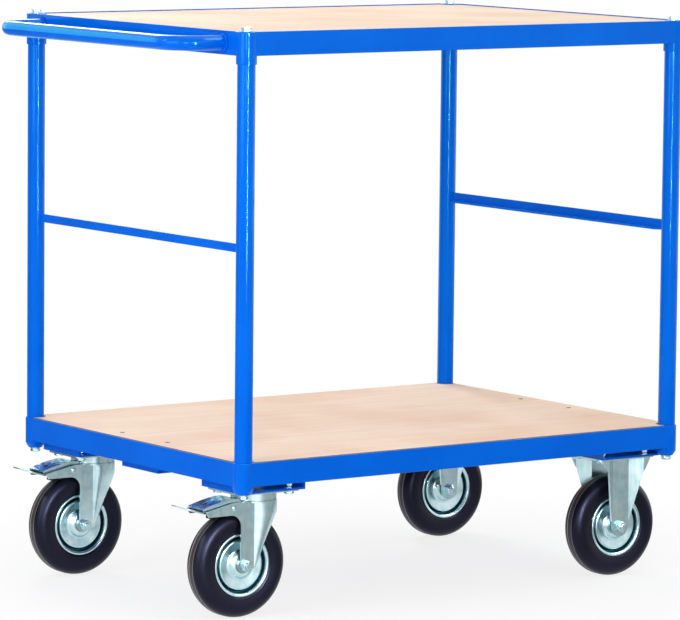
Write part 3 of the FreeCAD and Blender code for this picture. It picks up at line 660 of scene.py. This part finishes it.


# Post bolts and washers: a hexagon bolt through the closed end of each socket into the post's nut insert.
# Hexagon heads and nuts are cold forged, with a cone turned on each end that leaves curved corners.

# Zinc plate, bright and blue-passivated: thin plating that follows the rolled grain of the sheet.
# The eye sees faint lines and clouds, and a soft, cool mirror of the room. In the deep grooves of the rims
# the zinc is painted dark teal, as painted shade for the groove.
# The rolling lines of real sheet are finer than 0.1 mm; they are drawn 4 mm apart, as finer would not show.
zinc, tree, shader, place = new_material("bright_zinc_plate")
line_width = 0.004
line_length = 0.08
spangle_size = 0.02
rolled = add_node(tree, "ShaderNodeMapping",
                  {"Vector": place, "Scale": (1 / line_width, 1 / line_width, 1 / line_length)})
lines = add_node(tree, "ShaderNodeTexNoise",
                 {"Vector": rolled.outputs["Vector"], "Scale": 1.0, "Detail": 1.0})
spangle = add_node(tree, "ShaderNodeTexNoise", {"Vector": place, "Scale": 1 / spangle_size, "Detail": 3.0})
plate_tone = add_node(tree, "ShaderNodeValToRGB", {"Fac": spangle.outputs["Fac"]},
                      stops=[(0.3, "#B2D2DA"), (0.5, "#C0DDE3"), (0.7, "#CFE3E6")]).outputs["Color"]
plate_gloss = add_node(tree, "ShaderNodeMapRange", {"Value": lines.outputs["Fac"], "From Min": 0.3,
                                                    "From Max": 0.7, "To Min": 0.21, "To Max": 0.27})
scratch = add_node(tree, "ShaderNodeBump", {"Height": lines.outputs["Fac"], "Strength": 0.006,
                                            "Distance": 0.0004})
# Painted shade: where a rim's groove is marked, the zinc's colour is mixed to dark teal.
groove_shade_mark = add_node(tree, "ShaderNodeAttribute", attribute_name="painted_groove_shade").outputs["Fac"]
plate_tone = add_node(tree, "ShaderNodeMix", {0: groove_shade_mark, 6: plate_tone, 7: linear("#2E5F70")},
                      data_type="RGBA").outputs[2]
tree.links.new(plate_tone, shader.inputs["Base Color"])
tree.links.new(plate_gloss.outputs["Result"], shader.inputs["Roughness"])
tree.links.new(scratch.outputs["Normal"], shader.inputs["Normal"])
shader.inputs["Metallic"].default_value = 1.0
hex_steps = 96
cone_steps = 7
cone_depth = 0.1
cone_start = 0.47
cone_rise = 0.12
hole_ease = 0.0003
tip_share = 0.18
shank_steps = 40


def hexagon(flats, hole_r, foot, top, centre, upright=True):
    """A hexagon, with a hole unless the hole's radius is zero. At each angle its radius is the hexagon's,
    or that of the cone at its end where that is smaller."""
    angle = np.linspace(0, 2 * np.pi, hex_steps, endpoint=False)
    side_r = flats / 2 / np.cos((angle + np.pi / 6) % (np.pi / 3) - np.pi / 6)
    rise = np.linspace(0, 1, cone_steps)
    depth = flats * cone_depth * rise
    cone_r = flats * (cone_start + cone_rise * rise)
    rim = [hole_r, hole_r + hole_ease]
    limit = np.concatenate([rim, cone_r, cone_r[::-1], rim[::-1]])
    height = np.concatenate([[foot + hole_ease, foot], foot + depth,
                             top - depth[::-1], [top, top - hole_ease]])
    radius = np.minimum(limit[:, None], side_r)
    across = radius * np.cos(angle)
    round_about = radius * np.sin(angle)
    along = height[:, None] + 0 * angle
    parts = (across, round_about, along) if upright else (across, along, round_about)
    return np.stack(parts, -1) + np.array(centre)


def shank(radius, foot, top, centre, upright=True):
    """A bolt's round end with an eased tip, closed at both ends."""
    tip = radius * tip_share
    outline = np.array([(0, foot), (radius, foot), (radius, top - tip), (radius - tip, top), (0, top)])
    return turned(outline, centre, upright, shank_steps)


bolt_flats = 0.017
bolt_r = 0.005
bolt_head = 0.0064
post_bolt_end = 0.040
bolts = []
bolt_low, bolt_high = (corner[2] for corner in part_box("post_bolts"))
for x, y in post_places:
    bolts.append(hexagon(bolt_flats, 0.0, bolt_low, bolt_low + bolt_head, (x, y, 0)))
    bolts.append(hexagon(bolt_flats, 0.0, bolt_high - bolt_head, bolt_high, (x, y, 0)))
    bolts.append(shank(bolt_r, bolt_low + bolt_head, bolt_low + post_bolt_end, (x, y, 0)))
    bolts.append(shank(bolt_r, bolt_high - post_bolt_end, bolt_high - bolt_head, (x, y, 0)))
add_surface("post_hexagon_bolts", bolts, zinc, "frame", ("post_bolts",))
washer_round = 0.0004
finish_solid("post_washers", zinc, washer_round)
finish_solid("post_nut_inserts", zinc)


# Castor bolts and nuts: zinc plated steel, cold forged.
# Four bolts go through each castor's plate, with their nuts inside the bracket.
castor_sides = ("front", "back")
castor_bolt_x = 0.0525
castor_bolt_y = 0.040
thread_gap = 0.00005
swivel_x = middle_of("swivel_plates")[0]
rigid_x = middle_of("rigid_fork_front")[0]
castor_places = [(x, middle_of("rigid_fork_" + side)[1])
                 for x in (swivel_x, rigid_x) for side in castor_sides]
bolt_reach = np.array([(x * castor_bolt_x, y * castor_bolt_y) for x in (-1, 1) for y in (-1, 1)])
head_low, thread_end = (corner[2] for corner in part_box("castor_bolts"))
nut_low, nut_high = (corner[2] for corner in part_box("castor_nuts"))
bolts = []
nuts = []
for x, y in np.concatenate([bolt_reach + middle for middle in castor_places]):
    bolts.append(hexagon(bolt_flats, 0.0, head_low, head_low + bolt_head, (x, y, 0)))
    bolts.append(shank(bolt_r, head_low + bolt_head, thread_end, (x, y, 0)))
    nuts.append(hexagon(bolt_flats, bolt_r + thread_gap, nut_low, nut_high, (x, y, 0)))
add_surface("castor_hexagon_bolts", bolts, zinc, "frame", ("castor_bolts",))
add_surface("castor_hexagon_nuts", nuts, zinc, "frame", ("castor_nuts",))


# Castor heads and forks: sheet steel pressings, zinc plated, with kingpins that hold the ball races together.
# Their cut edges are slightly round from tumbling.
press_round = 0.0006
for node in ("swivel_plates", "kingpins", "swivel_bearing_balls"):
    finish_solid(node, zinc)
for side in castor_sides:
    finish_solid("swivel_fork_" + side, zinc, press_round)
    finish_solid("rigid_fork_" + side, zinc, press_round)


# Brake pedals: stamped and zinc plated steel levers on riveted pins.
# A leaf spring under the crown holds each one up or down.
for side in castor_sides:
    finish_solid("brake_pedal_" + side, zinc, press_round)
    finish_solid("brake_pin_" + side, zinc)
    finish_solid("brake_spring_" + side, zinc)


# Axles: zinc plated shoulder bolts through the forks' legs, hexagon headed at the back, with a nut in front.
# The shoulder carries the hub, and the thread's end stands out of the nut.
axle_flats = 0.019
axle_head = 0.008
axle_nut = 0.010
axle_nut_hole_r = 0.006
axle_shoulder_r = 0.009
shoulder_over = 0.0006
axle_thread_r = 0.00595
axle_thread_reach = 0.012
fork_sheet = 0.0036


def axle(wheel, bolt_node):
    """The pieces of a wheel's bolt, and its nut: hexagons and shanks along Y, set from the ends of the hub.
    The thread is a shank turned end for end, so that its eased tip is in front."""
    x, z = middle_of(bolt_node)[[0, 2]]
    hub_front, hub_back = (corner[1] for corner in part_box("hub_" + wheel))
    front = hub_front - fork_sheet
    back = hub_back + fork_sheet
    centre = (x, 0, z)
    head = hexagon(axle_flats, 0.0, back, back + axle_head, centre, False)
    shoulder = shank(axle_shoulder_r, hub_front - shoulder_over, hub_back + shoulder_over, centre, False)
    thread = shank(axle_thread_r, -back, axle_thread_reach - front, centre, False) * (1, -1, 1)
    nut = hexagon(axle_flats, axle_nut_hole_r, front - axle_nut, front, centre, False)
    return [head, shoulder, thread], nut


for side in castor_sides:
    bolt, nut = axle("swivel_" + side, "axle_bolt_" + side)
    body = "swivel_" + side
    add_surface("axle_hexagon_nut_" + side, [nut], zinc, body, ("axle_nut_" + side,))
    add_surface("axle_shoulder_bolt_" + side, bolt, zinc, body, ("axle_bolt_" + side,))
bolts = []
nuts = []
for side in castor_sides:
    bolt, nut = axle("rigid_" + side, "rigid_axle_bolts")
    bolts += bolt
    nuts.append(nut)
add_surface("rigid_axle_hexagon_nuts", nuts, zinc, "frame", ("rigid_axle_nuts",))
add_surface("rigid_axle_shoulder_bolts", bolts, zinc, "frame", ("rigid_axle_bolts",))


# Hubs: hardened bearing sleeves, pressed into the rims.
# They are ground bright and lightly oiled.

# Ground steel: grey and bright, mottled by fine marks of the grinding wheel.
# Those marks are far finer than 1.2 mm; they are drawn at that size, because finer would not show.
bearing_steel, tree, shader, place = new_material("ground_bearing_steel")
grind_size = 0.0012
grind = add_node(tree, "ShaderNodeTexNoise", {"Vector": place, "Scale": 1 / grind_size, "Detail": 2.0})
steel_tone = add_node(tree, "ShaderNodeValToRGB", {"Fac": grind.outputs["Fac"]},
                      stops=[(0.3, "#9AA3A6"), (0.7, "#B4BCBE")])
steel_gloss = add_node(tree, "ShaderNodeMapRange",
                       {"Value": grind.outputs["Fac"], "To Min": 0.22, "To Max": 0.36})
tree.links.new(steel_tone.outputs["Color"], shader.inputs["Base Color"])
tree.links.new(steel_gloss.outputs["Result"], shader.inputs["Roughness"])
shader.inputs["Metallic"].default_value = 1.0
wheels = [kind + "_" + side for kind in ("swivel", "rigid") for side in castor_sides]
for wheel in wheels:
    finish_solid("hub_" + wheel, bearing_steel)


# Rims: two sheet steel halves pressed into a dish, with a deep groove behind the rolled lip, zinc plated.
# The outline is one half's section: pairs of radius and distance from the middle, in millimetres.
rim_half = np.array([
    (56.0, 0.0), (53.8, 0.0), (53.8, 5.8), (48.4, 5.8), (45.6, 15.8), (44.6, 16.4), (29.0, 12.3),
    (24.6, 14.0), (20.4, 19.3), (16.0, 21.2), (13.5, 21.2), (13.5, 23.5), (16.5, 23.5), (22.0, 21.5),
    (26.0, 16.2), (29.0, 14.5), (45.0, 18.7), (47.0, 17.9), (50.2, 8.0), (53.2, 8.0), (54.2, 19.6),
    (56.2, 22.2), (58.4, 22.9), (60.2, 22.2), (60.2, 20.4), (56.0, 17.9)]) / 1000
rim_ease = 0.0011
rim_ease_steps = 6
rim_steps = 96
groove_inner = 0.0472
groove_outer = 0.0541
groove_top = 0.0178
groove_fade = 0.004
rim_outline = rounded(rim_half, rim_ease, rim_ease_steps)
# The groove's inner walls are marked for painted shade, which fades out towards the groove's mouth.
painted_groove_shade = np.clip((groove_top - rim_outline[:, 1]) / groove_fade, 0, 1)
painted_groove_shade *= (rim_outline[:, 0] > groove_inner) & (rim_outline[:, 0] < groove_outer)
for wheel in wheels:
    centre = middle_of("rim_" + wheel)
    halves = [turned(rim_outline * (1, way), centre, False, rim_steps) for way in (1, -1)]
    add_surface("pressed_rim_" + wheel, halves, zinc, "wheel_" + wheel, ("rim_" + wheel,),
                {"painted_groove_shade": np.tile(np.repeat(painted_groove_shade, rim_steps), 2)})


# Tyres: solid black rubber moulded on the rim, with a fine rib at each edge of the tread and by the rim.
# The section is a seat, a flank and a shoulder of two arcs, and a tread between its ribs.

# Rubber: near black with a cool sheen, dust on the tread, and pale ribs where the mould closed.
# Its crumb is finer than 1 mm; it is drawn at 6 mm, because finer would not show. Smears are 45 mm across.
rubber, tree, shader, place = new_material("moulded_black_rubber")
crumb_size = 0.006
smear_size = 0.0455
crumb = add_node(tree, "ShaderNodeTexNoise", {"Vector": place, "Scale": 1 / crumb_size, "Detail": 4.0})
smear = add_node(tree, "ShaderNodeTexNoise", {"Vector": place, "Scale": 1 / smear_size, "Detail": 2.0})
black = add_node(tree, "ShaderNodeValToRGB", {"Fac": smear.outputs["Fac"]},
                 stops=[(0.3, "#08070B"), (0.7, "#100E15")]).outputs["Color"]
for mark, colour in (("tread_dust", "#3B3634"), ("mould_rib", "#A39C96")):
    share = add_node(tree, "ShaderNodeAttribute", attribute_name=mark).outputs["Fac"]
    mixed = add_node(tree, "ShaderNodeMix", {0: share, 6: black, 7: linear(colour)}, data_type="RGBA")
    black = mixed.outputs[2]
rubber_gloss = add_node(tree, "ShaderNodeMapRange",
                        {"Value": crumb.outputs["Fac"], "To Min": 0.3, "To Max": 0.42})
rubber_skin = add_node(tree, "ShaderNodeBump", {"Height": crumb.outputs["Fac"], "Strength": 0.05,
                                                "Distance": 0.0005})
tree.links.new(black, shader.inputs["Base Color"])
tree.links.new(rubber_gloss.outputs["Result"], shader.inputs["Roughness"])
tree.links.new(rubber_skin.outputs["Normal"], shader.inputs["Normal"])
shader.inputs["Specular IOR Level"].default_value = 0.36
shader.inputs["Specular Tint"].default_value = linear("#B4BAF5")
tyre_r = 0.100
tyre_half = 0.025
shoulder_r = 0.019
bulge_r = 0.0494
tyre_bead_r = 0.0604
flank_steps = 22
flank_line_r = 0.0645
flank_line_half = 0.0011
flank_line_height = 0.0006
shoulder_steps = 26
rib_place = 0.0058
rib_half = 0.0006
rib_height = 0.0007
rib_steps = 9
tread_inner = 0.002
tread_from_r = 0.09
tyre_steps = 160
seat = np.array([(0.056, 0.0), (0.056, 0.0178), (0.0598, 0.0202)])
shoulder_foot = tyre_r - shoulder_r
lean = np.linspace(math.asin((shoulder_foot - tyre_bead_r) / bulge_r), 0, flank_steps)
flank = np.stack([shoulder_foot - bulge_r * np.sin(lean), tyre_half - bulge_r * (1 - np.cos(lean))], -1)
flank[:, 1] += flank_line_height * np.exp(-((flank[:, 0] - flank_line_r) / flank_line_half) ** 2)
lift = np.linspace(0, np.pi / 2, shoulder_steps)[1:]
shoulder = np.stack([shoulder_foot + shoulder_r * np.sin(lift),
                     tyre_half - shoulder_r * (1 - np.cos(lift))], -1)
tread_width = np.append(np.linspace(rib_place, rib_place - 3 * rib_half, rib_steps)[1:], tread_inner)
rib = np.exp(-((tread_width - rib_place) / rib_half) ** 2)
tread = np.stack([tyre_r - rib_height * (1 - rib), tread_width], -1)
half_outline = np.concatenate([seat, flank, shoulder, tread])
tyre_outline = np.concatenate([half_outline, half_outline[1:][::-1] * (1, -1)])
radius = tyre_outline[:, 0]
width = abs(tyre_outline[:, 1])
on_tread = np.clip((rib_place + rib_half - width) / rib_half, 0, 1) * (radius > tread_from_r)
on_rib = np.exp(-((width - rib_place) / rib_half) ** 2) * (radius > tread_from_r)
marks = {"tread_dust": np.repeat(on_tread, tyre_steps), "mould_rib": np.repeat(on_rib, tyre_steps)}
for wheel in wheels:
    tyre = turned(tyre_outline, middle_of("tyre_" + wheel), False, tyre_steps)
    add_surface("moulded_tyre_" + wheel, [tyre], rubber, "wheel_" + wheel, ("tyre_" + wheel,),
                marks)


# Brake shoes: moulded rubber blocks.
# Each is bonded under its pedal, with a hollow that faces the tyre.
for side in castor_sides:
    finish_solid("brake_shoe_" + side, rubber, press_round)
